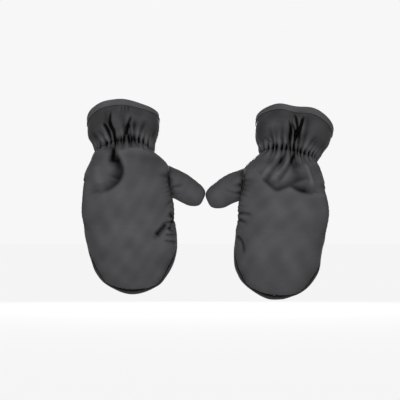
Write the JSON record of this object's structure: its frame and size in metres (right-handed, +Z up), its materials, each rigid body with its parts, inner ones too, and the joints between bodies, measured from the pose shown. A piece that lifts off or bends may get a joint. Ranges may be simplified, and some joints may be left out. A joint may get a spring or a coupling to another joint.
{
  "type": "stroller hand muff pair",
  "caption": "Pair of padded hand muffs for a push bar: mittens with gathered wrists, flared cuffs, thumb pockets and a passage across the palm closed by a snap flap.",
  "frame": {"origin": "middle of the pair, on the line of the push bar that runs through both passages", "axes": "+X along the bar towards the right muff, +Z up towards the cuffs, +Y away from the backs of the hands, towards the palms"},
  "size_m": [0.3697, 0.1164, 0.3003],
  "materials": {
    "shell_fabric": "satin woven polyester, charcoal",
    "wadding": "lofted polyester wadding, off-white",
    "fleece_lining": "short pile fleece, dark grey",
    "elastic": "woven elastic, black",
    "snap_metal": "dark gunmetal, semi-gloss"
  },
  "bodies": {
    "right_muff": {"right_cuff_lining": "fleece_lining", "right_cuff_shell": "shell_fabric", "right_finger_lining": "fleece_lining", "right_finger_shell": "shell_fabric", "right_finger_wadding": "wadding", "right_front_lining": "fleece_lining", "right_front_shell": "shell_fabric", "right_front_wadding": "wadding", "right_heel_lining": "fleece_lining", "right_heel_shell": "shell_fabric", "right_heel_wadding": "wadding", "right_hem_binding": "shell_fabric", "right_inner_mouth_elastic": "elastic", "right_outer_mouth_elastic": "elastic", "right_snap_stud_1": "snap_metal", "right_snap_stud_2": "snap_metal", "right_thumb_lining": "fleece_lining", "right_thumb_shell": "shell_fabric", "right_wrist_elastic": "elastic"},
    "right_flap": {"right_flap_shell": "shell_fabric", "right_flap_lining": "fleece_lining", "right_snap_socket_1": "snap_metal", "right_snap_socket_2": "snap_metal", "right_snap_cap_1": "snap_metal", "right_snap_cap_2": "snap_metal"},
    "left_muff": {"left_cuff_lining": "fleece_lining", "left_cuff_shell": "shell_fabric", "left_finger_lining": "fleece_lining", "left_finger_shell": "shell_fabric", "left_finger_wadding": "wadding", "left_front_lining": "fleece_lining", "left_front_shell": "shell_fabric", "left_front_wadding": "wadding", "left_heel_lining": "fleece_lining", "left_heel_shell": "shell_fabric", "left_heel_wadding": "wadding", "left_hem_binding": "shell_fabric", "left_inner_mouth_elastic": "elastic", "left_outer_mouth_elastic": "elastic", "left_snap_stud_1": "snap_metal", "left_snap_stud_2": "snap_metal", "left_thumb_lining": "fleece_lining", "left_thumb_shell": "shell_fabric", "left_wrist_elastic": "elastic"},
    "left_flap": {"left_flap_shell": "shell_fabric", "left_flap_lining": "fleece_lining", "left_snap_socket_1": "snap_metal", "left_snap_socket_2": "snap_metal", "left_snap_cap_1": "snap_metal", "left_snap_cap_2": "snap_metal"}
  },
  "joints": [
    {"name": "pair_spacing", "type": "slide", "parent": "right_muff", "child": "left_muff", "axis": [-1, 0, 0], "range_m": [0, 0.06]},
    {"name": "right_flap_hinge", "type": "hinge", "parent": "right_muff", "child": "right_flap", "pos_m": [0.12196, 0.04463, -0.05205], "axis": [-0.9951, 0, 0.0993], "range_deg": [0, 150]},
    {"name": "left_flap_hinge", "type": "hinge", "parent": "left_muff", "child": "left_flap", "pos_m": [-0.1246, 0.04463, -0.04254], "axis": [-0.9991, 0, -0.0419], "range_deg": [0, 150]}
  ]
}
